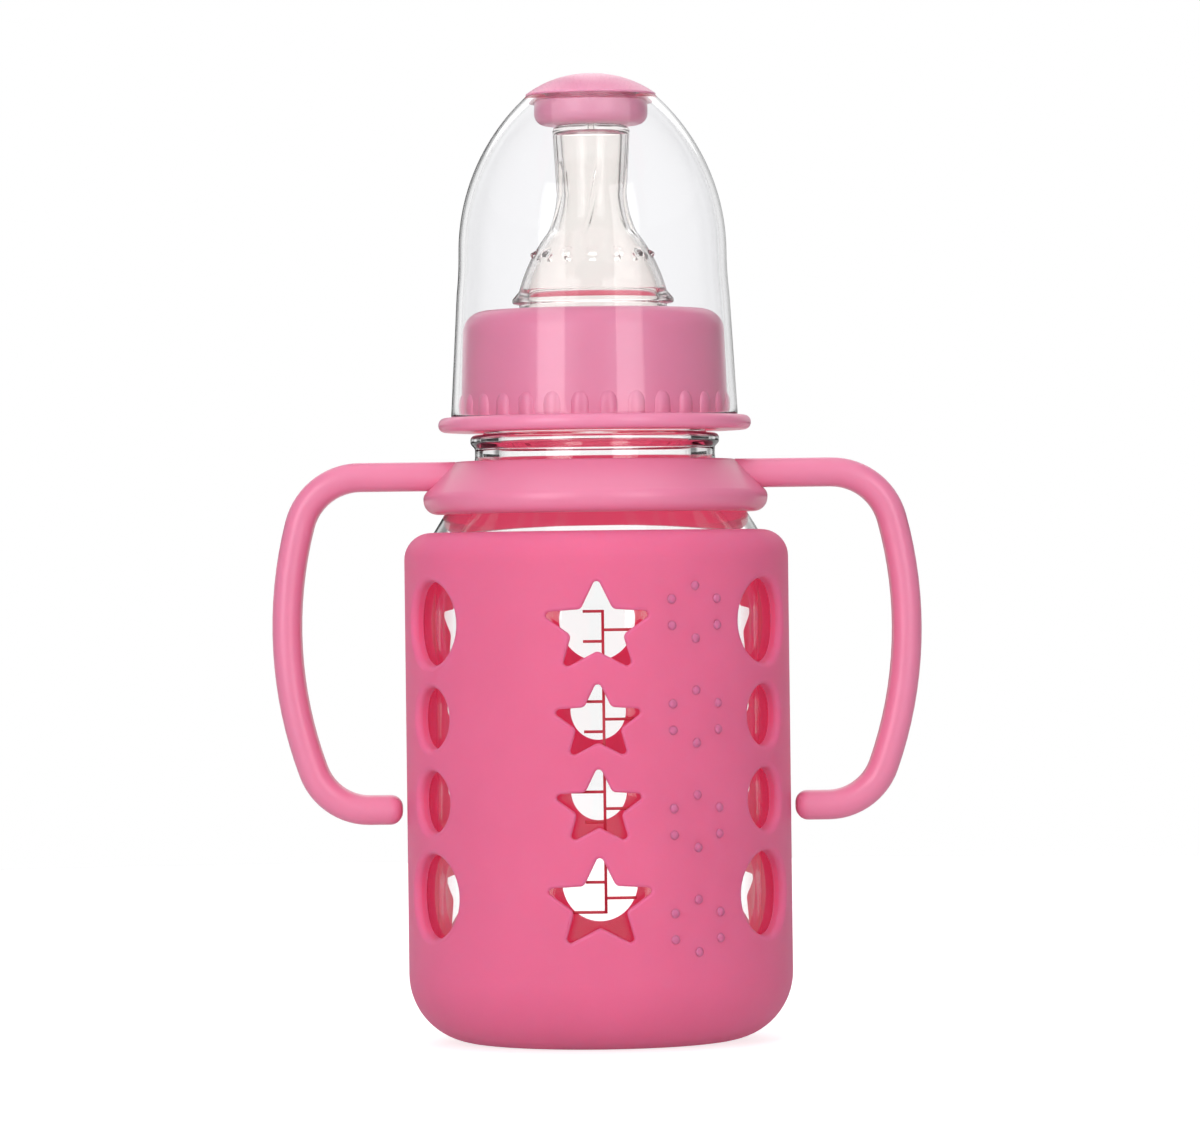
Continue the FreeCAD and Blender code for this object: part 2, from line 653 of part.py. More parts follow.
round_edges(teat, "teat_bead_edges", circles_at(
    teat, (teat_bead_radius, teat_bead_foot), (teat_bead_radius, teat_bead_top)), "teat_bead_round")

# Hood: a flared skirt and an ogive dome with a hole for the plug.
hood = new_body("hood")
turned(hood, "hood", [
    (hood_foot_inner, flange_top),
    (hood_foot_radius, flange_top),
    (hood_shoulder, hood_shoulder_level, hood_dome_bend, "right"),
    ("hood_top_radius", hood_top),
    ("plug_neck_radius", hood_top),
    ("plug_neck_radius", hood_roof),
    (hood_roof_radius, hood_roof, "%s - hood_wall" % hood_dome_bend, "left"),
    (hood_shoulder_inner, hood_shoulder_level),
])

# Hood plug: a domed button over the hole, its neck in the hole and the disc that stops the teat.
plug = new_body("hood_plug")
plug_top = "(%s + plug_button_rise)" % hood_top
plug_foot = "(%s + plug_press_gap)" % teat_top
turned(plug, "plug", [
    ("0", plug_foot),
    ("plug_disc_radius", plug_foot),
    ("plug_disc_radius", hood_roof),
    ("plug_neck_radius", hood_roof),
    ("plug_neck_radius", hood_top),
    ("hood_top_radius", hood_top, plug_bend, "right"),
    ("0", plug_top),
])
round_edges(plug, "plug_disc_edge", circles_at(plug, ("plug_disc_radius", plug_foot)), "plug_disc_round")

# Check every object, then write one STEP file for each piece.
doc.recompute()
for item in doc.Objects:
    if "Invalid" in item.State or "Error" in item.State:
        raise RuntimeError("%s did not build: %s" % (item.Name, item.State))
os.makedirs("parts", exist_ok=True)
for body in (glass, sleeve, ring, collar, teat, hood, plug):
    shape = body.Shape
    if shape.isNull() or not shape.isValid() or len(shape.Solids) != 1:
        raise RuntimeError("%s is not one sound solid" % body.Label)
    shape.exportStep("parts/%s.step" % body.Label)
    box = shape.BoundBox
    print("%-16s %9.1f mm3  z %.2f to %.2f  x %.2f to %.2f" % (
        body.Label, shape.Volume, box.ZMin, box.ZMax, box.XMin, box.XMax))
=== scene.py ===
import bpy, bmesh
import json, math
from mathutils import Matrix, Vector

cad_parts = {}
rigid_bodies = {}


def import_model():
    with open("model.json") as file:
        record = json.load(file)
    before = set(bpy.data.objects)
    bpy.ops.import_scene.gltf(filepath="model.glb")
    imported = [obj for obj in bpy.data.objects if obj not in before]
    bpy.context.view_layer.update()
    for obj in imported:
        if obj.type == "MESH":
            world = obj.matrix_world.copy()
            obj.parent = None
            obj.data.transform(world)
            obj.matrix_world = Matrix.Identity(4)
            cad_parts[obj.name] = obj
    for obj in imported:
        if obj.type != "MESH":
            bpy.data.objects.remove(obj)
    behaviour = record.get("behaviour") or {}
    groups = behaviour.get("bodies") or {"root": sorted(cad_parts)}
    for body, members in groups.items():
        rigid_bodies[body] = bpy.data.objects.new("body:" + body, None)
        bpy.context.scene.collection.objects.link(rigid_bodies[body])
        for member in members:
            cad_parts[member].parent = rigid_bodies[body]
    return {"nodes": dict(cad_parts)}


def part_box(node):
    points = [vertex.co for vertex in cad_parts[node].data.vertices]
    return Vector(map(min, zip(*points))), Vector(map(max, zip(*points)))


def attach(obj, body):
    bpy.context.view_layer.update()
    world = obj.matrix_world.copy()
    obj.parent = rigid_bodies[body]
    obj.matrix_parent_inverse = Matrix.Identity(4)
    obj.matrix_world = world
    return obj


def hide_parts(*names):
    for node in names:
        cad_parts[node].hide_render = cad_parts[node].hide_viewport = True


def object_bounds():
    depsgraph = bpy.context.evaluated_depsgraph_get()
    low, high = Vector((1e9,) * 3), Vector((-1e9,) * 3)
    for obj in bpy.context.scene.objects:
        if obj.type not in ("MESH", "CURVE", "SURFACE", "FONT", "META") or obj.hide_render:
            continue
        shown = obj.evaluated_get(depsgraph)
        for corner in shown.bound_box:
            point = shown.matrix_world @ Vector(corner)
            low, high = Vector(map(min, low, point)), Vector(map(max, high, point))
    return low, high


# Looks of the baby bottle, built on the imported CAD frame. Metres, +Z up, front is -Y.
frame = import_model()
cadLow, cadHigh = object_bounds()
nodes = frame["nodes"]
print("frame loaded:", ", ".join(sorted(nodes)))

fullTurn = 2 * math.pi
sameRadius = 1e-6  # radii closer than this count as one, and below it a point is on the axis
endFade = 6  # threads and ribs rise from nothing over a sixth of a turn or of their length
plainWhite = (1.0, 1.0, 1.0, 1.0)
plainBlack = (0.0, 0.0, 0.0, 1.0)


# small helpers for meshes and turned pieces
def addObject(name, data):
    obj = bpy.data.objects.new(name, data)
    bpy.context.scene.collection.objects.link(obj)
    return obj


def meshFrom(name, bm):
    mesh = bpy.data.meshes.new(name)
    bm.to_mesh(mesh)
    bm.free()
    return mesh


def paint(mesh, material):
    mesh.materials.clear()
    mesh.materials.append(material)


def dress(obj, body, material, slotName, *stoodFor):
    paint(obj.data, material)
    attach(obj, body)
    if stoodFor:
        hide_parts(*stoodFor)


def roundedLoop(corners, steps):
    # corners are (radius, height, bend); each bend becomes a short arc
    loop = []
    for index, (r, z, bend) in enumerate(corners):
        if bend <= 0:
            loop.append((r, z))
            continue
        here = Vector((r, z))
        before = Vector(corners[index - 1][:2])
        after = Vector(corners[(index + 1) % len(corners)][:2])
        inWay, outWay = (before - here).normalized(), (after - here).normalized()
        half = inWay.angle(outWay) / 2
        cut = bend / math.tan(half)
        first, last = here + inWay * cut, here + outWay * cut
        middle = here + (inWay + outWay).normalized() * (bend / math.sin(half))
        startWay, endWay = first - middle, last - middle
        sweep = startWay.angle_signed(endWay)
        for step in range(steps + 1):
            spot = middle + Matrix.Rotation(-sweep * step / steps, 2) @ startWay
            loop.append((spot.x, spot.y))
    return loop


def sharePoints(start, end, count):
    # evenly spaced points from start to end, without the end
    return [(start[0] + (end[0] - start[0]) * k / count,
             start[1] + (end[1] - start[1]) * k / count) for k in range(count)]


def arcPoints(start, end, bend, side, count):
    # points on the short arc from start to end that bows to side (+1 left, -1 right), without the end
    a, b = Vector(start), Vector(end)
    chord = b - a
    left = Vector((-chord.y, chord.x)).normalized() * side
    depth = math.sqrt(max(bend ** 2 - (chord.length / 2) ** 2, 0))
    middle = (a + b) / 2 - left * depth
    sweep = (a - middle).angle_signed(b - middle)
    return [tuple(middle + Matrix.Rotation(-sweep * k / count, 2) @ (a - middle)) for k in range(count)]


def lathe(name, loop, segments, push=None, creaseDegrees=38):
    # turns a closed (radius, height) loop round Z
    # push(angle, radius, height, row) may move a point in or out
    bm = bmesh.new()
    rows = []
    for row, (r, z) in enumerate(loop):
        if r < sameRadius:
            rows.append([bm.verts.new((0, 0, z))])
            continue
        ring = []
        for s in range(segments):
            a = fullTurn * s / segments
            rr = r + (push(a, r, z, row) if push else 0.0)
            ring.append(bm.verts.new((rr * math.sin(a), -rr * math.cos(a), z)))
        rows.append(ring)
    for row in range(len(rows)):
        low, high = rows[row], rows[(row + 1) % len(rows)]
        if len(low) == 1 and len(high) == 1:
            continue
        for s in range(segments):
            n = (s + 1) % segments
            if len(low) == 1:
                bm.faces.new((low[0], high[n], high[s]))
            elif len(high) == 1:
                bm.faces.new((low[s], low[n], high[0]))
            else:
                bm.faces.new((low[s], low[n], high[n], high[s]))
    bmesh.ops.recalc_face_normals(bm, faces=bm.faces)
    mesh = meshFrom(name, bm)
    mesh.shade_smooth()
    mesh.set_sharp_from_angle(angle=math.radians(creaseDegrees))
    return addObject(name, mesh)


def moreRows(loop, radius, span, count):
    # splits the long straight stretches of a loop that lie at one radius
    longer = []
    for spot, after in zip(loop, loop[1:] + loop[:1]):
        tall = abs(after[1] - spot[1]) > span and abs(spot[0] - radius) < sameRadius
        longer += sharePoints(spot, after, count) if tall else [spot]
    return longer


def threadShare(angle, z, foot, sizes):
    # 0 to 1 across a right-hand screw thread whose middle starts at foot, in front of the bottle
    around = angle / fullTurn
    turns = (z - foot) / sizes["threadPitch"] - around
    along = round(turns) + around
    if not 0 < along < sizes["threadTurns"]:
        return 0.0
    fade = min(1.0, along * endFade, (sizes["threadTurns"] - along) * endFade)
    away = abs(turns - round(turns)) * sizes["threadPitch"] / sizes["threadHalf"]
    return fade * max(0.0, 1 - away ** 2)


def threadedLathe(name, loop, sizes, radius, foot, proud):
    # turns a loop whose long stretch at one radius carries the thread, which stands proud by so much
    def thread(angle, r, z, row):
        if abs(r - radius) > sameRadius:
            return 0.0
        return proud * threadShare(angle, z, foot, sizes)
    rows = moreRows(loop, radius, sizes["threadSpan"], sizes["threadRows"])
    return lathe(name, rows, sizes["segments"], thread)


# small helpers for node trees
def feed(tree, target, value):
    # a socket is linked, anything else becomes the input's own value
    if isinstance(value, bpy.types.NodeSocket):
        tree.links.new(value, target)
    else:
        target.default_value = value


def addNode(tree, kind, **values):
    # fills inputs by name; an underscore stands for a space
    made = tree.nodes.new(kind)
    for word, value in values.items():
        feed(tree, made.inputs[word.replace("_", " ")], value)
    return made


def mathNode(tree, operation, *values):
    made = tree.nodes.new("ShaderNodeMath")
    made.operation = operation
    for target, value in zip(made.inputs, values):
        feed(tree, target, value)
    return made.outputs[0]


def vectorNode(tree, operation, *values):
    made = tree.nodes.new("ShaderNodeVectorMath")
    made.operation = operation
    for target, value in zip(made.inputs, values):
        feed(tree, target, value)
    return made.outputs["Value" if operation in ("DOT_PRODUCT", "LENGTH") else "Vector"]


def mixShaders(tree, out, factor, first, second):
    # the second shader takes over from the first where the factor is 1
    mix = tree.nodes.new("ShaderNodeMixShader")
    for target, value in zip(mix.inputs, (factor, first.outputs[0], second.outputs[0])):
        tree.links.new(value, target)
    tree.links.new(mix.outputs[0], out.inputs["Surface"])


def newGroup(name, inputs, outputs):
    # inputs and outputs are {socket name: kind}
    group = bpy.data.node_groups.new(name, "ShaderNodeTree")
    for way, sockets in (("INPUT", inputs), ("OUTPUT", outputs)):
        for word, kind in sockets.items():
            group.interface.new_socket(word, in_out=way, socket_type="NodeSocket" + kind)
    inside, outside = group.nodes.new("NodeGroupInput"), group.nodes.new("NodeGroupOutput")
    return group, inside.outputs, outside.inputs


# materials
def srgb(r, g, b):
    def linear(v):
        v /= 255
        return v / 12.92 if v <= 0.04045 else ((v + 0.055) / 1.055) ** 2.4
    return (linear(r), linear(g), linear(b), 1.0)


mouldValues = {
    "driftScale": 55.0, "driftDetail": 3.0, "driftLow": 0.3, "driftHigh": 0.7,
    "roughLow": 0.85, "roughHigh": 1.15, "bumpDistance": 0.0002,
}


def makeMouldGroup(values):
    # fine moulded surface: a colour that drifts a little, a roughness that varies, and a bumped normal
    group, inside, outside = newGroup(
        "mouldSurface",
        {"Color": "Color", "Drift": "Float", "Roughness": "Float", "Grain Scale": "Float",
         "Grain Detail": "Float", "Grain Depth": "Float"},
        {"Color": "Color", "Roughness": "Float", "Normal": "Vector"})
    spot = group.nodes.new("ShaderNodeTexCoord").outputs["Object"]
    broad = addNode(group, "ShaderNodeTexNoise", Vector=spot, Scale=values["driftScale"],
                    Detail=values["driftDetail"])
    fine = addNode(group, "ShaderNodeTexNoise", Vector=spot, Scale=inside["Grain Scale"],
                   Detail=inside["Grain Detail"])
    spread = addNode(group, "ShaderNodeMapRange", Value=broad.outputs["Fac"], From_Min=values["driftLow"],
                     From_Max=values["driftHigh"], To_Min=-1.0)
    drift = mathNode(group, "MULTIPLY_ADD", spread.outputs["Result"], inside["Drift"], 1.0)
    shade = addNode(group, "ShaderNodeHueSaturation", Color=inside["Color"], Value=drift)
    uneven = addNode(group, "ShaderNodeMapRange", Value=fine.outputs["Fac"], To_Min=values["roughLow"],
                     To_Max=values["roughHigh"])
    rough = mathNode(group, "MULTIPLY", inside["Roughness"], uneven.outputs["Result"])
    bump = addNode(group, "ShaderNodeBump", Strength=inside["Grain Depth"], Distance=values["bumpDistance"],
                   Height=fine.outputs["Fac"])
    group.links.new(shade.outputs["Color"], outside["Color"])
    group.links.new(rough, outside["Roughness"])
    group.links.new(bump.outputs["Normal"], outside["Normal"])
    return group


def makeInsideGroup(fullFacing):
    # faces that look at the bottle's axis get painted shade, a deeper colour, and a painted glow that stands
    # in for light soaked through the wall, in full where normal and way out from the axis meet at fullFacing
    # (a cosine)
    group, inside, outside = newGroup(
        "paintedSoakedLight",
        {"Color": "Color", "Painted Shade Color": "Color", "Glow": "Color", "Reach": "Float"},
        {"Color": "Color", "Glow": "Color"})
    coords = group.nodes.new("ShaderNodeTexCoord").outputs
    flat = vectorNode(group, "MULTIPLY", coords["Object"], (1.0, 1.0, 0.0))
    facing = vectorNode(group, "DOT_PRODUCT", vectorNode(group, "NORMALIZE", flat), coords["Normal"])
    mask = addNode(group, "ShaderNodeMapRange", Value=facing, From_Min=0.0, From_Max=fullFacing)
    near = mathNode(group, "LESS_THAN", vectorNode(group, "LENGTH", flat), inside["Reach"])
    both = mathNode(group, "MULTIPLY", mask.outputs["Result"], near)
    for word, plain, paintedInside in (("Color", inside["Color"], inside["Painted Shade Color"]),
                              ("Glow", plainBlack, inside["Glow"])):
        mix = addNode(group, "ShaderNodeMix", Factor=both)
        mix.data_type = "RGBA"
        first, second = [item for item in mix.inputs if item.type == "RGBA"]
        feed(group, first, plain)
        feed(group, second, paintedInside)
        group.links.new([item for item in mix.outputs if item.type == "RGBA"][0], outside[word])
    return group


mouldGroup = makeMouldGroup(mouldValues)
insideGroup = makeInsideGroup(fullFacing=-0.5)


def setInputs(node, look, words):
    # words are {input name: key in the look}
    for word, key in words.items():
        node.inputs[word].default_value = look[key]


def skinnedMaterial(name, look):
    # a Principled shader whose colour, roughness and normal come from the moulded surface group
    mat = bpy.data.materials.new(name)
    mat.use_nodes = True
    tree = mat.node_tree
    tree.nodes.clear()
    out = tree.nodes.new("ShaderNodeOutputMaterial")
    shader = tree.nodes.new("ShaderNodeBsdfPrincipled")
    tree.links.new(shader.outputs["BSDF"], out.inputs["Surface"])
    skin = tree.nodes.new("ShaderNodeGroup")
    skin.node_tree = mouldGroup
    setInputs(skin, look, {"Color": "color", "Drift": "drift", "Roughness": "roughness",
                           "Grain Scale": "grainScale", "Grain Detail": "grainDetail",
                           "Grain Depth": "grainDepth"})
    for word, target in (("Color", "Base Color"), ("Roughness", "Roughness"), ("Normal", "Normal")):
        tree.links.new(skin.outputs[word], shader.inputs[target])
    return mat, tree, shader


def mouldedMaterial(name, look):
    mat, tree, shader = skinnedMaterial(name, look)
    setInputs(shader, look, {"Subsurface Weight": "depth", "Subsurface Radius": "depthRadius",
                             "Subsurface Scale": "depthScale", "Specular IOR Level": "gloss",
                             "Emission Strength": "paintedGlowStrength"})
    # inward faces get painted shade in their base colour and a painted glow as emission
    soaked = tree.nodes.new("ShaderNodeGroup")
    soaked.node_tree = insideGroup
    setInputs(soaked, look, {"Painted Shade Color": "paintedInside", "Glow": "glow", "Reach": "reach"})
    skinColor = shader.inputs["Base Color"].links[0].from_socket
    tree.links.new(skinColor, soaked.inputs["Color"])
    tree.links.new(soaked.outputs["Color"], shader.inputs["Base Color"])
    tree.links.new(soaked.outputs["Glow"], shader.inputs["Emission Color"])
    return mat


def clearMaterial(name, look):
    mat, tree, shader = skinnedMaterial(name, look)
    setInputs(shader, look, {"IOR": "ior", "Transmission Weight": "clear"})
    # shadow and diffuse rays pass straight through, so light reaches what lies inside
    path = tree.nodes.new("ShaderNodeLightPath").outputs
    free = mathNode(tree, "MAXIMUM", path["Is Shadow Ray"], path["Is Diffuse Ray"])
    through = addNode(tree, "ShaderNodeBsdfTransparent", Color=look["shadow"])
    mixShaders(tree, tree.nodes["Material Output"], free, shader, through)
    return mat


# reach: faces further than this from the axis are never taken for inside ones; on inside ones the inside
# colour is painted shade and the glow is painted light
softLook = {"depthRadius": (1.0, 0.35, 0.45), "reach": 0.0296, "paintedGlowStrength": 1.0, "grainDetail": 4.0}
siliconeLook = dict(softLook, color=srgb(234, 114, 155), paintedInside=srgb(232, 90, 131), drift=0.03,
                    roughness=0.55, grainScale=3600.0, grainDepth=0.06, depth=0.7, depthScale=0.003,
                    gloss=0.22, glow=(0.175, 0.01, 0.034, 1.0))
plasticLook = dict(softLook, drift=0.02, grainScale=5200.0, grainDepth=0.015, depth=0.2,
                   depthScale=0.0015, gloss=0.5, glow=(0.3, 0.04, 0.08, 1.0))
handleLook = dict(plasticLook, color=srgb(239, 135, 171), paintedInside=srgb(226, 100, 138), roughness=0.32)
collarLook = dict(plasticLook, color=srgb(242, 143, 179), paintedInside=srgb(222, 98, 134), roughness=0.3)
plugLook = dict(plasticLook, color=srgb(243, 158, 190), paintedInside=srgb(243, 158, 190), roughness=0.28)
# clear walls have the slow waves of blown glass and moulded plastic
glassLook = {"color": srgb(254, 254, 254), "drift": 0.004, "roughness": 0.004, "grainScale": 70.0,
             "grainDetail": 0.5, "grainDepth": 0.4, "ior": 1.47, "clear": 1.0,
             "shadow": (0.97, 0.97, 0.97, 1.0)}
hoodLook = {"color": srgb(250, 250, 251), "drift": 0.004, "roughness": 0.015, "grainScale": 90.0,
            "grainDetail": 0.5, "grainDepth": 0.12, "ior": 1.3, "clear": 1.0,
            "shadow": (0.95, 0.95, 0.95, 1.0)}
teatLook = {"color": srgb(255, 253, 250), "drift": 0.004, "roughness": 0.05, "grainScale": 260.0,
            "grainDetail": 1.0, "grainDepth": 0.1, "ior": 1.32, "clear": 0.96,
            "shadow": (0.93, 0.92, 0.91, 1.0)}
inkLook = {"color": srgb(196, 34, 58), "drift": 0.08, "roughness": 0.4, "grainScale": 2400.0,
           "grainDetail": 3.0, "grainDepth": 0.05}
floorLook = {"color": (0.5, 0.5, 0.5, 1.0), "drift": 0.02, "roughness": 0.7, "grainScale": 900.0,
             "grainDetail": 3.0, "grainDepth": 0.02}
flagLook = dict(floorLook, color=(0.01, 0.01, 0.01, 1.0))
pinkSilicone = mouldedMaterial("pinkSilicone", siliconeLook)
handlePlastic = mouldedMaterial("handlePlastic", handleLook)
collarPlastic = mouldedMaterial("collarPlastic", collarLook)
plugPlastic = mouldedMaterial("plugPlastic", plugLook)
bottleGlass = clearMaterial("bottleGlass", glassLook)
hoodPlastic = clearMaterial("hoodPlastic", hoodLook)
teatSilicone = clearMaterial("teatSilicone", teatLook)
scaleInk = skinnedMaterial("scaleInk", inkLook)[0]
print("materials made")


# glass bottle, with the screw thread that the solids leave out
glassSizes = {
    "wall": 0.00285, "floor": 0.0044, "floorDome": 0.0006, "heel": 0.0088, "innerHeel": 0.007,
    "punt": 0.014, "puntRise": 0.0012, "puntBend": 0.004,
    "shoulderDrop": 0.0363, "shoulderHeight": 0.0153, "shoulderBend": 0.008, "innerShift": 0.0008,
    "neck": 0.0192, "neckDrop": 0.0187, "neckBend": 0.004, "innerNeckDrop": 0.0013, "innerNeckBend": 0.006,
    "bead": 0.0199, "beadHeight": 0.0022, "beadBend": 0.0008, "underBead": 0.0006,
    "finish": 0.0178, "finishBend": 0.0004, "mouth": 0.0154, "rimBend": 0.0009,
    "threadPitch": 0.004, "threadDepth": 0.001, "threadHalf": 0.0011, "threadTurns": 1.75,
    "threadRise": 0.0035, "threadSpan": 0.008, "threadRows": 64, "bendSteps": 10, "segments": 160,
}


def makeGlass(sizes):
    low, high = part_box("glass_bottle")
    body, foot, rim = high.x, low.z, high.z
    neck, bead, finish, mouth = sizes["neck"], sizes["bead"], sizes["finish"], sizes["mouth"]
    shoulder = rim - sizes["shoulderDrop"]
    neckFoot = shoulder + sizes["shoulderHeight"]
    beadFoot = rim - sizes["neckDrop"]
    beadTop = beadFoot + sizes["beadHeight"]
    inside, floor = body - sizes["wall"], foot + sizes["floor"]
    loop = roundedLoop([
        (0.0, foot + sizes["puntRise"], 0), (sizes["punt"], foot, sizes["puntBend"]),
        (body, foot, sizes["heel"]), (body, shoulder, sizes["shoulderBend"]),
        (neck, neckFoot, sizes["neckBend"]), (neck, beadFoot, sizes["underBead"]),
        (bead, beadFoot + sizes["beadBend"], sizes["beadBend"]), (bead, beadTop, sizes["beadBend"]),
        (finish, beadTop, sizes["finishBend"]), (finish, rim, sizes["rimBend"]),
        (mouth, rim, sizes["rimBend"]), (mouth, neckFoot - sizes["innerNeckDrop"], sizes["innerNeckBend"]),
        (inside, shoulder - sizes["innerShift"], sizes["shoulderBend"]), (inside, floor, sizes["innerHeel"]),
        (0.0, floor + sizes["floorDome"], 0)], sizes["bendSteps"])
    threadFoot = beadTop + sizes["threadRise"]
    return threadedLathe("bottle_glass", loop, sizes, finish, threadFoot, sizes["threadDepth"])


dress(makeGlass(glassSizes), "bottle", bottleGlass, "clear_glass", "glass_bottle")
print("glass made")

# sleeve and handles keep their CAD shapes
paint(nodes["silicone_sleeve"].data, pinkSilicone)
paint(nodes["handle_ring"].data, handlePlastic)
print("sleeve and handles painted")


# collar, with the thread inside it that runs between the turns on the glass
collarSizes = {
    "flangeThick": 0.0023, "flangeBend": 0.0011, "skirtFoot": 0.02135, "skirtBend": 0.0005,
    "skirtTop": 0.0208, "topBend": 0.0036, "roofThick": 0.0019, "roofBend": 0.0008,
    "hole": 0.0119, "holeBend": 0.0005, "underHole": 0.0003, "bore": 0.0193, "boreBend": 0.0004,
    "threadPitch": 0.004, "threadDepth": 0.0009, "threadHalf": 0.0006, "threadTurns": 1.5,
    "threadRise": 0.005, "threadSpan": 0.01, "threadRows": 80, "bendSteps": 9, "segments": 160,
}


def makeCollar(sizes):
    low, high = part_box("screw_collar")
    foot, top, flange = low.z, high.z, high.x
    flangeTop, roof = foot + sizes["flangeThick"], top - sizes["roofThick"]
    bore, hole = sizes["bore"], sizes["hole"]
    loop = roundedLoop([
        (bore, foot, sizes["boreBend"]), (flange, foot, sizes["flangeBend"]),
        (flange, flangeTop, sizes["flangeBend"]), (sizes["skirtFoot"], flangeTop, sizes["skirtBend"]),
        (sizes["skirtTop"], top, sizes["topBend"]), (hole, top, sizes["holeBend"]),
        (hole, roof, sizes["underHole"]), (bore, roof, sizes["roofBend"])], sizes["bendSteps"])
    threadFoot = foot + sizes["threadRise"]
    return threadedLathe("collar_skirt", loop, sizes, bore, threadFoot, -sizes["threadDepth"])


dress(makeCollar(collarSizes), "collar", collarPlastic, "collar_plastic", "screw_collar")
print("collar made")


# teat
teatSizes = {
    "wall": 0.0014, "flangeThick": 0.0013, "flangeBend": 0.0004, "flangeFootBend": 0.0003,
    "groove": 0.0118, "grooveTop": 0.0042, "grooveBend": 0.0002,
    "bead": 0.0129, "beadTop": 0.0064, "beadSlant": 0.0002, "beadBend": 0.0004, "lip": 0.0009,
    "breast": 0.0071, "breastRise": 0.0158, "breastBend": 0.026,
    "waist": 0.0056, "waistRise": 0.0218, "waistBend": 0.016,
    "tip": 0.0062, "tipBend": 0.0009, "roof": 0.0009, "roofBend": 0.0008, "hole": 0.0004,
    "ribs": 4, "ribPhase": 0.15, "ribDepth": 0.0005, "ribWidth": 0.0006, "ribTwist": -0.55,
    "ribBelowWaist": 0.007, "ribBelowTip": 0.0055,
    "bumps": 14, "bumpRise": 0.0123, "bumpProud": 0.0007, "bumpWidth": 0.0009, "bumpHeight": 0.0006,
    # rows along each stretch of the profile
    "breastRows": 34, "waistRows": 12, "innerRows": 16, "baseSteps": 6, "tipSteps": 10, "roofSteps": 8,
    "segments": 240,
}


def makeTeat(sizes):
    low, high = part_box("teat")
    foot, top, flange = low.z, high.z, high.x
    wall, groove, bead, tip = sizes["wall"], sizes["groove"], sizes["bead"], sizes["tip"]
    bore, breast, waist, hole = groove - wall, sizes["breast"], sizes["waist"], sizes["hole"]
    grooveTop, beadTop = foot + sizes["grooveTop"], foot + sizes["beadTop"]
    breastLevel, waistLevel = foot + sizes["breastRise"], foot + sizes["waistRise"]
    flangeTop, roof = foot + sizes["flangeThick"], top - sizes["roof"]
    breastBend, waistBend, rows = sizes["breastBend"], sizes["waistBend"], sizes["innerRows"]
    base = roundedLoop([
        (bore, foot, 0), (flange, foot, sizes["flangeFootBend"]), (flange, flangeTop, sizes["flangeBend"]),
        (groove, flangeTop, sizes["grooveBend"]), (groove, grooveTop, sizes["grooveBend"]),
        (bead, grooveTop + sizes["beadSlant"], sizes["beadBend"]),
        (bead, grooveTop + sizes["lip"], sizes["beadBend"]), (groove, beadTop, 0)], sizes["baseSteps"])
    outside = arcPoints((groove, beadTop), (breast, breastLevel), breastBend, -1, sizes["breastRows"])[1:]
    outside += arcPoints((breast, breastLevel), (waist, waistLevel), waistBend, 1, sizes["waistRows"])
    outside += roundedLoop([(waist, waistLevel, 0), (tip, top, sizes["tipBend"]), (hole, top, 0)],
                           sizes["tipSteps"])
    inside = roundedLoop([(hole, roof, 0), (tip - wall, roof, sizes["roofBend"]),
                          (waist - wall, waistLevel, 0)], sizes["roofSteps"])
    inside = inside[:-2] + sharePoints(inside[-2], inside[-1], rows)
    inside += arcPoints((waist - wall, waistLevel), (breast - wall, breastLevel), waistBend + wall, -1, rows)
    inside += arcPoints((breast - wall, breastLevel), (bore, beadTop), breastBend - wall, 1, rows)
    firstInside = len(base) + len(outside)
    ribLow, ribHigh = waistLevel - sizes["ribBelowWaist"], top - sizes["ribBelowTip"]
    bumpLevel = foot + sizes["bumpRise"]

    def crown(turn, r, count, width):
        # 1 on the middle of the nearest of so many marks round the teat, 0 a width away from it
        away = abs(turn - round(turn)) * fullTurn * r / count / width
        return max(0.0, 1 - away ** 2)

    def relief(angle, r, z, row):
        # slanted ribs inside the stem that keep it from folding, and a row of small bumps round the breast
        if row >= firstInside:
            share = (z - ribLow) / (ribHigh - ribLow)
            if r < wall or not 0 < share < 1:
                return 0.0
            turn = (angle + sizes["ribTwist"] * share) * sizes["ribs"] / fullTurn + sizes["ribPhase"]
            fade = min(1.0, share * endFade, (1 - share) * endFade)
            return -sizes["ribDepth"] * fade * crown(turn, r, sizes["ribs"], sizes["ribWidth"])
        if row > len(base) and abs(z - bumpLevel) < sizes["bumpHeight"]:
            tall = 1 - ((z - bumpLevel) / sizes["bumpHeight"]) ** 2
            turn = angle * sizes["bumps"] / fullTurn
            return sizes["bumpProud"] * tall * crown(turn, r, sizes["bumps"], sizes["bumpWidth"])
        return 0.0
    return lathe("teat_clear", base + outside + inside + [(bore, beadTop)], sizes["segments"], relief)


dress(makeTeat(teatSizes), "teat_body", teatSilicone, "clear_silicone", "teat")
print("teat made")


# hood
hoodSizes = {
    "wall": 0.001, "flare": 0.0015, "flareEase": 4, "skirt": 0.0263, "top": 0.0104, "hole": 0.0076,
    "footEdge": 0.001, "footBend": 0.0004, "innerFootBend": 0.0003,
    "skirtRows": 24, "domeRows": 30, "bendSteps": 5, "segments": 160,
}


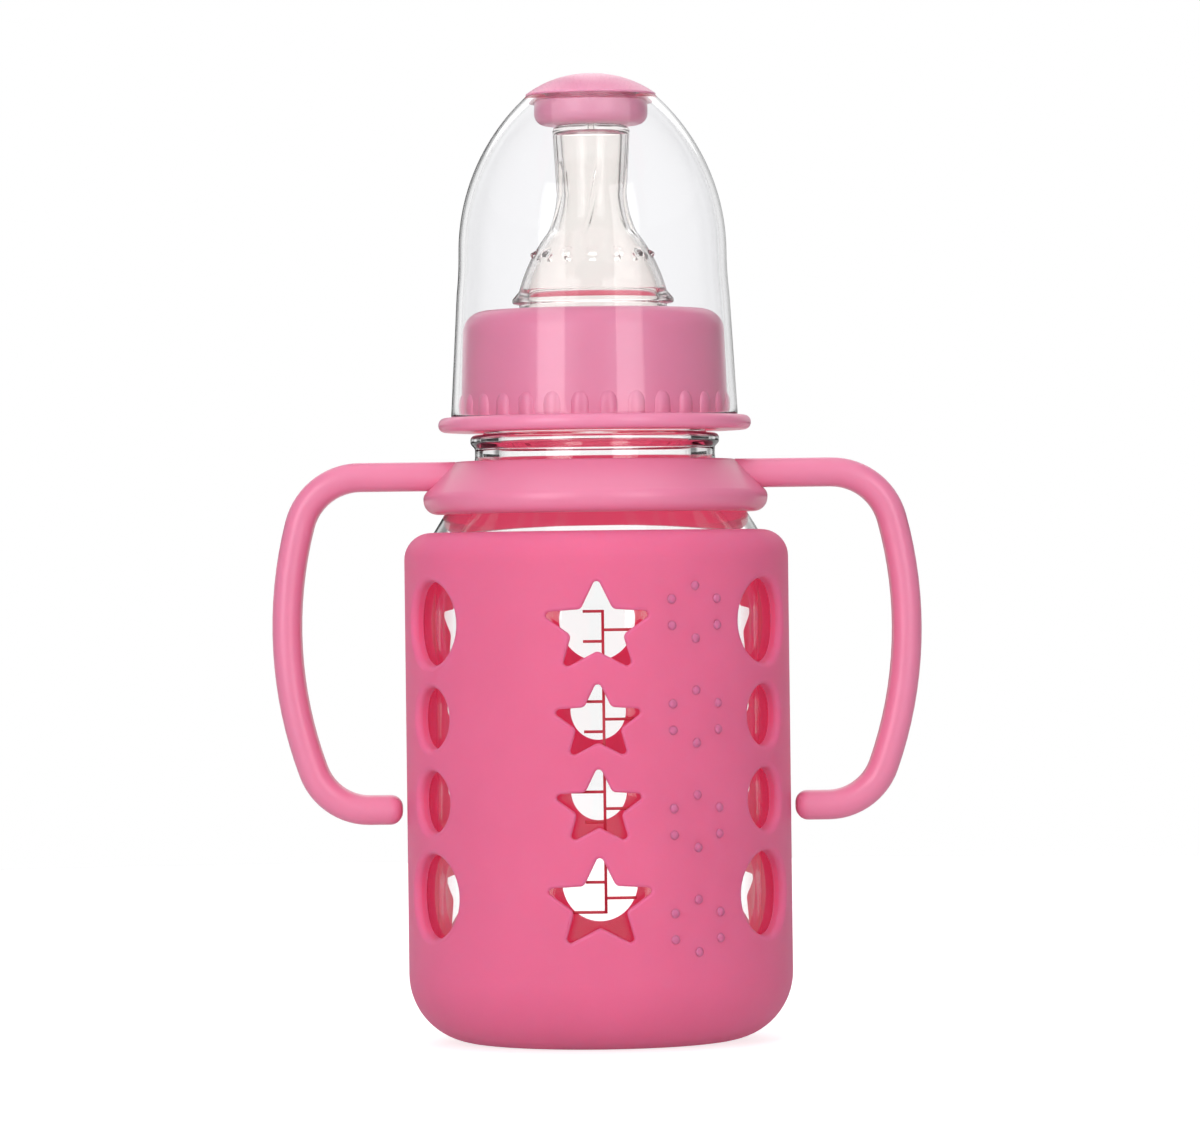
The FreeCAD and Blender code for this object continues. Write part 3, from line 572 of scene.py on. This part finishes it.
def makeHood(sizes):
    low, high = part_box("hood")
    foot, top, footRadius, wall = low.z, high.z, high.x, sizes["wall"]
    shoulder, shoulderLevel = footRadius - sizes["flare"], foot + sizes["skirt"]
    across, rise = shoulder - sizes["top"], top - shoulderLevel
    bend = (across ** 2 + rise ** 2) / (2 * across)
    roof = shoulder - bend + math.sqrt((bend - wall) ** 2 - (rise - wall) ** 2)
    footLoop = roundedLoop([
        (shoulder - wall, shoulderLevel, 0), (footRadius - wall, foot, sizes["innerFootBend"]),
        (footRadius, foot, sizes["footBend"]), (shoulder, shoulderLevel, 0)], sizes["bendSteps"])[1:-1]
    rows, length = sizes["skirtRows"], sizes["skirt"] - sizes["footEdge"]

    def skirtSpot(z, inset):
        # straight flare that eases into the dome, so no crease shows
        t = (shoulderLevel - z) / sizes["skirt"]
        return (shoulder + sizes["flare"] * t * min(1.0, t * sizes["flareEase"]) - inset, z)
    outerSkirt = [skirtSpot(foot + sizes["footEdge"] + length * k / rows, 0) for k in range(rows)]
    innerSkirt = [skirtSpot(shoulderLevel - length * k / rows, wall) for k in range(1, rows)]
    innerTop = (shoulder - wall, shoulderLevel)
    dome = arcPoints((shoulder, shoulderLevel), (sizes["top"], top), bend, -1, sizes["domeRows"])
    rimLoop = [(sizes["top"], top), (sizes["hole"], top), (sizes["hole"], top - wall)]
    innerDome = arcPoints((roof, top - wall), innerTop, bend - wall, 1, sizes["domeRows"])
    loop = footLoop + outerSkirt + dome + rimLoop + innerDome + [innerTop] + innerSkirt
    return lathe("hood_clear", loop, sizes["segments"])


dress(makeHood(hoodSizes), "hood_body", hoodPlastic, "clear_plastic", "hood")
print("hood made")


# plug in the hood's top
plugSizes = {
    "disc": 0.0091, "discBend": 0.0018, "discTopBend": 0.0003, "neck": 0.0076, "neckBend": 0.0001,
    "button": 0.0104, "buttonBend": 0.0002, "buttonEdge": 0.0003, "gap": 0.00002,
    "bendSteps": 6, "capRows": 20, "segments": 128,
}


def makePlug(sizes):
    low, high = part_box("hood_plug")
    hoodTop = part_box("hood")[1].z
    disc, neck, button = sizes["disc"], sizes["neck"] - sizes["gap"], sizes["button"]
    roof, edge = hoodTop - hoodSizes["wall"] - sizes["gap"], hoodTop + sizes["buttonEdge"]
    rise = high.z - hoodTop
    bend = (button ** 2 + rise ** 2) / (2 * rise)
    foot = roundedLoop([
        (0, low.z, 0), (disc, low.z, sizes["discBend"]), (disc, roof, sizes["discTopBend"]),
        (neck, roof, sizes["neckBend"]), (neck, hoodTop, 0), (button, hoodTop, sizes["buttonBend"]),
        (button, edge, 0)], sizes["bendSteps"])[:-1]
    cap = arcPoints((button, edge), (0, high.z), bend, -1, sizes["capRows"])
    return lathe("plug_button", foot + cap + [(0, high.z)], sizes["segments"])


dress(makePlug(plugSizes), "hood_body", plugPlastic, "plug_plastic", "hood_plug")
print("plug made")


# geometry node trees: grip dots on the sleeve, grip ribs on the collar, printed scale on the glass
class TreeMaker:
    # short words for building a geometry node tree; inputs are {kind of socket: names}
    def __init__(self, name, inputs):
        self.tree = bpy.data.node_groups.new(name, "GeometryNodeTree")
        self.ids = {}
        for kind, words in inputs.items():
            for word in words:
                socket = self.tree.interface.new_socket(word, in_out="INPUT", socket_type="NodeSocket" + kind)
                self.ids[word] = socket.identifier
        self.tree.interface.new_socket("Geometry", in_out="OUTPUT", socket_type="NodeSocketGeometry")
        self.inside = self.tree.nodes.new("NodeGroupInput")
        self.outside = self.tree.nodes.new("NodeGroupOutput")

    def get(self, word):
        return self.inside.outputs[word]

    def node(self, kind, **values):
        return addNode(self.tree, kind, **values)

    def math(self, operation, *values):
        return mathNode(self.tree, operation, *values)

    def vector(self, x, y, z):
        return self.node("ShaderNodeCombineXYZ", X=x, Y=y, Z=z).outputs[0]

    def index(self):
        return self.node("GeometryNodeInputIndex").outputs[0]

    def spot(self):
        # x, y and z of the point that is being moved
        position = self.node("GeometryNodeInputPosition").outputs[0]
        return self.node("ShaderNodeSeparateXYZ", Vector=position).outputs

    def move(self, geometry, position):
        return self.node("GeometryNodeSetPosition", Geometry=geometry, Position=position).outputs[0]

    def points(self, count, position):
        return self.move(self.node("GeometryNodePoints", Count=count).outputs[0], position)

    def copies(self, points, shape, **values):
        return self.node("GeometryNodeInstanceOnPoints", Points=points, Instance=shape, **values).outputs[0]

    def realized(self, geometry):
        return self.node("GeometryNodeRealizeInstances", Geometry=geometry).outputs[0]

    def around(self, angle, radius, z):
        # a place at so much of an angle to the right of the front
        back = self.math("MULTIPLY", self.math("COSINE", angle), radius)
        return self.vector(self.math("MULTIPLY", self.math("SINE", angle), radius),
                           self.math("MULTIPLY", back, -1.0), z)

    def end(self, geometry):
        smooth = self.node("GeometryNodeSetShadeSmooth")
        self.tree.links.new(self.realized(geometry), smooth.inputs[0])
        painted = self.node("GeometryNodeSetMaterial", Geometry=smooth.outputs[0],
                            Material=self.get("Material"))
        self.tree.links.new(painted.outputs[0], self.outside.inputs[0])


def growMesh(name, maker, values):
    # runs a tree once and keeps its result as a plain mesh
    holder = addObject(name + "_grow", bpy.data.meshes.new(name + "_grow"))
    modifier = holder.modifiers.new(name, "NODES")
    modifier.node_group = maker.tree
    for word, value in values.items():
        modifier[maker.ids[word]] = value
    graph = bpy.context.evaluated_depsgraph_get()
    grown = holder.evaluated_get(graph)
    mesh = bpy.data.meshes.new_from_object(grown, preserve_all_data_layers=True, depsgraph=graph)
    holder.modifiers.clear()
    bpy.data.objects.remove(holder)
    mesh.name = name
    return addObject(name, mesh)


def makeDotTree():
    # dots stand in groups of six, in rows of groups, in columns round the sleeve
    maker = TreeMaker("gripDots", {
        "Int": ["Columns", "Groups"], "Material": ["Material"],
        "Float": ["First Angle", "Surface", "Lowest Group", "Group Pitch", "Side", "Reach", "Dot Radius",
                  "Dot Height"]})
    m, get = maker.math, maker.get
    perGroup = 6.0
    halfStep = math.pi / perGroup
    index, perColumn = maker.index(), m("MULTIPLY", get("Groups"), perGroup)
    column = m("FLOOR", m("DIVIDE", index, perColumn))
    group = m("MODULO", m("FLOOR", m("DIVIDE", index, perGroup)), get("Groups"))
    turn = m("MULTIPLY_ADD", m("MODULO", index, perGroup), 2 * halfStep, halfStep)
    across = m("MULTIPLY", m("DIVIDE", m("COSINE", turn), math.cos(halfStep)), get("Side"))
    up = m("MULTIPLY", m("SINE", turn), get("Reach"))
    columnAngle = m("MULTIPLY_ADD", column, m("DIVIDE", fullTurn, get("Columns")), get("First Angle"))
    angle = m("ADD", columnAngle, m("DIVIDE", across, get("Surface")))
    z = m("ADD", m("MULTIPLY_ADD", group, get("Group Pitch"), get("Lowest Group")), up)
    placed = maker.points(m("MULTIPLY", perColumn, get("Columns")), maker.around(angle, get("Surface"), z))
    ball = maker.node("GeometryNodeMeshUVSphere", Segments=16, Rings=10, Radius=1.0)
    facing = maker.node("FunctionNodeAlignRotationToVector", Vector=maker.around(angle, 1.0, 0.0))
    facing.axis = "Z"
    maker.end(maker.copies(placed, ball.outputs[0], Rotation=facing.outputs[0], Scale=maker.vector(
        get("Dot Radius"), get("Dot Radius"), get("Dot Height"))))
    return maker


dotValues = {
    "Columns": 2, "Groups": 4, "First Angle": math.radians(30), "Surface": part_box("silicone_sleeve")[1].x,
    "Lowest Group": 0.0196, "Group Pitch": 0.0163, "Side": 0.0041, "Reach": 0.0041,
    "Dot Radius": 0.00072, "Dot Height": 0.00038, "Material": pinkSilicone,
}
gripDots = growMesh("grip_dots", makeDotTree(), dotValues)
dress(gripDots, "bottle", pinkSilicone, "pink_silicone")
print("grip dots:", len(gripDots.data.polygons), "faces")


def makeRibTree():
    # soft ribs round the foot of the collar
    maker = TreeMaker("gripRibs", {
        "Int": ["Count"], "Material": ["Material"],
        "Float": ["First Angle", "Surface", "Level", "Half Width", "Deep", "Height", "Foot", "Squareness"]})
    m, get = maker.math, maker.get
    angle = m("MULTIPLY_ADD", maker.index(), m("DIVIDE", fullTurn, get("Count")), get("First Angle"))
    placed = maker.points(get("Count"), maker.around(angle, get("Surface"), get("Level")))
    # one rib is a ball with straighter sides and a flat foot, which is hidden in the flange
    ball = maker.node("GeometryNodeMeshUVSphere", Segments=16, Rings=12, Radius=1.0)
    x, y, z = maker.spot()
    rise = m("MAXIMUM", z, get("Foot"))
    wide = m("SQRT", m("SUBTRACT", 1.0, m("POWER", m("ABSOLUTE", rise), get("Squareness"))))
    spread = m("DIVIDE", wide, m("SQRT", m("ADD", m("POWER", x, 2.0), m("POWER", y, 2.0))))
    shaped = maker.move(ball.outputs[0], maker.vector(
        m("MULTIPLY", x, spread), m("MULTIPLY", y, spread), rise))
    facing = maker.node("FunctionNodeAxisAngleToRotation", Axis=(0.0, 0.0, 1.0), Angle=angle)
    maker.end(maker.copies(placed, shaped, Rotation=facing.outputs[0], Scale=maker.vector(
        get("Half Width"), get("Deep"), get("Height"))))
    return maker


ribSink = 0.0005  # how far the ribs' middle lies inside the skirt
ribValues = {
    "Count": 30, "First Angle": math.radians(6), "Surface": collarSizes["skirtFoot"] - ribSink,
    "Level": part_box("screw_collar")[0].z + collarSizes["flangeThick"], "Half Width": 0.0016, "Deep": 0.0009,
    "Height": 0.0038, "Foot": -0.3, "Squareness": 4.0, "Material": collarPlastic,
}
collarRibs = growMesh("collar_ribs", makeRibTree(), ribValues)
dress(collarRibs, "collar", collarPlastic, "collar_plastic")
print("collar ribs:", len(collarRibs.data.polygons), "faces")


def makeTickTree():
    # a row of marks up one side of a line, bent onto the glass; the first of every so many is a long one
    maker = TreeMaker("printedTicks", {
        "Int": ["Count", "Long Every"], "Material": ["Material"],
        "Float": ["Lowest", "Step", "Short", "Long", "Side", "Line Shift", "Thick", "Proud", "Surface"]})
    m, get, index = maker.math, maker.get, maker.index()
    isLong = m("LESS_THAN", m("MODULO", index, get("Long Every")), 0.5)
    length = m("MULTIPLY_ADD", isLong, m("SUBTRACT", get("Long"), get("Short")), get("Short"))
    middle = m("MULTIPLY_ADD", m("MULTIPLY", length, 0.5), get("Side"), get("Line Shift"))
    level = m("MULTIPLY_ADD", index, get("Step"), get("Lowest"))
    placed = maker.points(get("Count"), maker.vector(middle, 0.0, level))
    bar = maker.node("GeometryNodeMeshCube", Size=(1.0, 1.0, 1.0), Vertices_X=9)
    flat = maker.realized(maker.copies(placed, bar.outputs[0], Scale=maker.vector(
        length, get("Proud"), get("Thick"))))
    x, y, z = maker.spot()
    angle, radius = m("DIVIDE", x, get("Surface")), m("SUBTRACT", get("Surface"), y)
    maker.end(maker.move(flat, maker.around(angle, radius, z)))
    return maker


inkGap = 0.00002  # between the glass and the middle of the ink
inkValues = {"Line Shift": 0.0009, "Thick": 0.00045, "Proud": 0.00008, "Material": scaleInk,
             "Surface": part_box("glass_bottle")[1].x + inkGap}
scaleValues = {
    "scale_ml_marks": {"Count": 11, "Lowest": 0.022, "Step": 0.00468, "Long Every": 4,
                       "Short": 0.0031, "Long": 0.0055, "Side": -1.0},
    "scale_oz_marks": {"Count": 4, "Lowest": 0.0242, "Step": 0.0139, "Long Every": 1,
                       "Short": 0.0048, "Long": 0.0048, "Side": 1.0},
    "scale_line": {"Count": 1, "Lowest": 0.0454, "Step": 0.0, "Long Every": 1,
                   "Short": 0.00045, "Long": 0.00045, "Side": 0.0, "Thick": 0.0472},
}
tickTree = makeTickTree()
for name, values in scaleValues.items():
    dress(growMesh(name, tickTree, dict(inkValues, **values)), "bottle", scaleInk, "clear_glass")
print("printed scale made")


# floor, light and camera
studio = {
    "floorRadius": 0.6, "floorSegments": 96, "floorGlow": 0.75, "floorLight": 0.2,
    "around": 0.255,  # what lights dull faces from all sides
    "throughGlow": 1.07,  # white that is seen through clear walls
    "oneWall": 2.5,  # a wall is two surfaces, so more than this means two walls
    "floorEdge": -0.06,  # rays that fall more steeply than this pass the floor's edge
    # each panel is (degrees to the right of straight behind, brightness)
    "panels": [(-50, 0.27), (-42, 0.95), (-19, 0.95), (-15, 0.08), (-6, 0.08), (-3, 1.0),
               (3, 1.0), (6, 0.45), (14, 0.45), (18, 0.85), (40, 0.85), (46, 0.2), (60, 0.27)],
    "before": 0.06,  # brightness on the camera's side
    "flagReach": 0.12, "flagFirst": 27, "flagLast": 64, "flagLow": 0.087, "flagHigh": 0.0985, "flagSteps": 10,
    "bounces": 24, "clearBounces": 20, "transparentBounces": 16,
}


def makeFloor(values):
    bm = bmesh.new()
    bmesh.ops.create_circle(bm, cap_ends=True, segments=values["floorSegments"], radius=values["floorRadius"])
    floor = addObject("floor", meshFrom("floor", bm))
    mat, tree, shader = skinnedMaterial("paleFloor", floorLook)
    # the floor glows only where it is looked at, so it doesn't light the bottle from below
    path = tree.nodes.new("ShaderNodeLightPath").outputs
    unseen = mathNode(tree, "MAXIMUM", path["Is Diffuse Ray"], path["Glossy Depth"])
    glow = addNode(tree, "ShaderNodeMapRange", Value=unseen, To_Min=values["floorGlow"],
                   To_Max=values["floorLight"])
    feed(tree, shader.inputs["Emission Color"], plainWhite)
    feed(tree, shader.inputs["Emission Strength"], glow.outputs["Result"])
    paint(floor.data, mat)


def makeWorld(values):
    world = bpy.data.worlds.new("studio")
    bpy.context.scene.world = world
    world.use_nodes = True
    tree = world.node_tree
    tree.nodes.clear()
    out = tree.nodes.new("ShaderNodeOutputWorld")
    path = tree.nodes.new("ShaderNodeLightPath").outputs
    coords = tree.nodes.new("ShaderNodeTexCoord").outputs
    x, y, z = addNode(tree, "ShaderNodeSeparateXYZ", Vector=coords["Generated"]).outputs
    # what is seen straight, or straight through two clear walls, is white, and so is what is seen
    # through one wall past the floor's edge
    white = addNode(tree, "ShaderNodeMapRange", Value=path["Is Camera Ray"], To_Min=values["throughGlow"],
                    To_Max=1.0)
    back = addNode(tree, "ShaderNodeBackground", Color=plainWhite, Strength=white.outputs["Result"])
    straight = mathNode(tree, "LESS_THAN", path["Glossy Depth"], 0.5)
    lit = mathNode(tree, "GREATER_THAN", straight, path["Is Diffuse Ray"])
    twoWalls = mathNode(tree, "GREATER_THAN", path["Transmission Depth"], values["oneWall"])
    below = mathNode(tree, "LESS_THAN", z, values["floorEdge"])
    through = mathNode(tree, "MULTIPLY", mathNode(tree, "MAXIMUM", twoWalls, below), lit)
    seen = mathNode(tree, "MAXIMUM", path["Is Camera Ray"], through)
    # reflections and the clear walls' own edges find white panels behind the bottle, with dark gaps
    # between them
    share = addNode(tree, "ShaderNodeMapRange", Value=mathNode(tree, "ARCTAN2", x, y), From_Min=-math.pi,
                    From_Max=math.pi)
    panels = addNode(tree, "ShaderNodeValToRGB", Fac=share.outputs["Result"])
    stops = panels.color_ramp.elements
    for degrees, bright in values["panels"]:
        stops.new(degrees / 360 + 0.5).color = (bright, bright, bright, 1.0)
    for stop in (stops[0], stops[-1]):
        stop.color = (values["before"], values["before"], values["before"], 1.0)
    glow = addNode(tree, "ShaderNodeMix", Factor=path["Is Diffuse Ray"], A=panels.outputs["Color"],
                   B=values["around"])
    around = addNode(tree, "ShaderNodeBackground", Color=plainWhite, Strength=glow.outputs["Result"])
    mixShaders(tree, out, seen, around, back)


def makeFlags(values):
    # two dark cards level with the neck, out of the camera's sight: the thick glass there shows them
    # as dark blocks; what is seen through both walls of the hood or the bottle passes them by
    mat, tree, shader = skinnedMaterial("darkCard", flagLook)
    path = tree.nodes.new("ShaderNodeLightPath").outputs
    twoWalls = mathNode(tree, "GREATER_THAN", path["Transmission Depth"], values["oneWall"])
    clear = tree.nodes.new("ShaderNodeBsdfTransparent")
    mixShaders(tree, tree.nodes["Material Output"], twoWalls, shader, clear)
    reach, steps = values["flagReach"], values["flagSteps"]
    for name, side in (("flagLeft", -1), ("flagRight", 1)):
        bm = bmesh.new()
        columns = []
        for step in range(steps + 1):
            degrees = values["flagFirst"] + (values["flagLast"] - values["flagFirst"]) * step / steps
            a = side * math.radians(degrees)
            columns.append([bm.verts.new((reach * math.sin(a), reach * math.cos(a), z))
                            for z in (values["flagLow"], values["flagHigh"])])
        for first, second in zip(columns, columns[1:]):
            bm.faces.new((first[0], second[0], second[1], first[1]))
        flag = addObject(name, meshFrom(name, bm))
        paint(flag.data, mat)
        for kind in ("camera", "diffuse", "shadow"):
            setattr(flag, "visible_" + kind, False)


# each light is (degrees to the right of the camera, degrees up, distance, width, height, power,
# kinds of ray that don't see it)
# the strips are seen only as reflections; the fills, nearer the camera, give the light that shapes the bottle
lightRows = {
    "stripLeft": (-35.5, 12, 0.9, 0.37, 0.9, 3.3, ["diffuse"]),
    "stripRight": (30, 12, 0.9, 0.36, 0.9, 2.805, ["diffuse"]),
    "fillLeft": (-17, 12, 0.9, 0.4, 0.9, 2.2, ["glossy", "transmission"]),
    "fillRight": (12, 12, 0.9, 0.4, 0.9, 1.87, ["glossy", "transmission"]),
    "softTop": (0, 82, 0.9, 0.9, 0.9, 3.0, []),
    "softFront": (-26, 28, 1.2, 0.7, 0.7, 2.9, ["glossy", "transmission"]),
    "softRear": (180, 14, 1.2, 0.5, 0.6, 3.2, ["glossy", "transmission"]),
    "softBack": (180, 35, 0.9, 0.8, 0.5, 0.8, []),
}


def makeLight(name, azimuth, elevation, distance, width, height, power, unseenBy):
    # the light faces the bottle's middle
    aim = Vector((0, 0, (cadLow.z + cadHigh.z) / 2))
    a, e = math.radians(azimuth), math.radians(elevation)
    away = Vector((math.sin(a) * math.cos(e), -math.cos(a) * math.cos(e), math.sin(e)))
    data = bpy.data.lights.new(name, "AREA")
    data.shape = "RECTANGLE"
    data.size, data.size_y, data.energy = width, height, power
    lamp = addObject(name, data)
    lamp.location = aim + away * distance
    lamp.rotation_euler = (-away).to_track_quat("-Z", "Y").to_euler()
    for kind in ["camera"] + unseenBy:
        setattr(lamp, "visible_" + kind, False)


makeFloor(studio)
makeWorld(studio)
makeFlags(studio)
for name, row in lightRows.items():
    makeLight(name, *row)

cameraSet = {"distance": 1.0, "height": 0.0766, "shiftX": 0.0006, "frameWidth": 0.192, "roll": 0.7,
             "sensor": 36.0, "clipStart": 0.01}
cameraData = bpy.data.cameras.new("camera")
cameraData.sensor_width = cameraSet["sensor"]
cameraData.lens = cameraSet["sensor"] * cameraSet["distance"] / cameraSet["frameWidth"]
cameraData.clip_start = cameraSet["clipStart"]
camera = addObject("camera", cameraData)
camera.matrix_world = (Matrix.Translation((cameraSet["shiftX"], -cameraSet["distance"], cameraSet["height"]))
                       @ Matrix.Rotation(math.radians(cameraSet["roll"]), 4, "Y")
                       @ Matrix.Rotation(math.radians(90), 4, "X"))
bpy.context.scene.camera = camera
bpy.context.scene.view_settings.view_transform = "Standard"
bpy.context.scene.cycles.max_bounces = studio["bounces"]
bpy.context.scene.cycles.transmission_bounces = studio["clearBounces"]
bpy.context.scene.cycles.transparent_max_bounces = studio["transparentBounces"]
print("studio made")
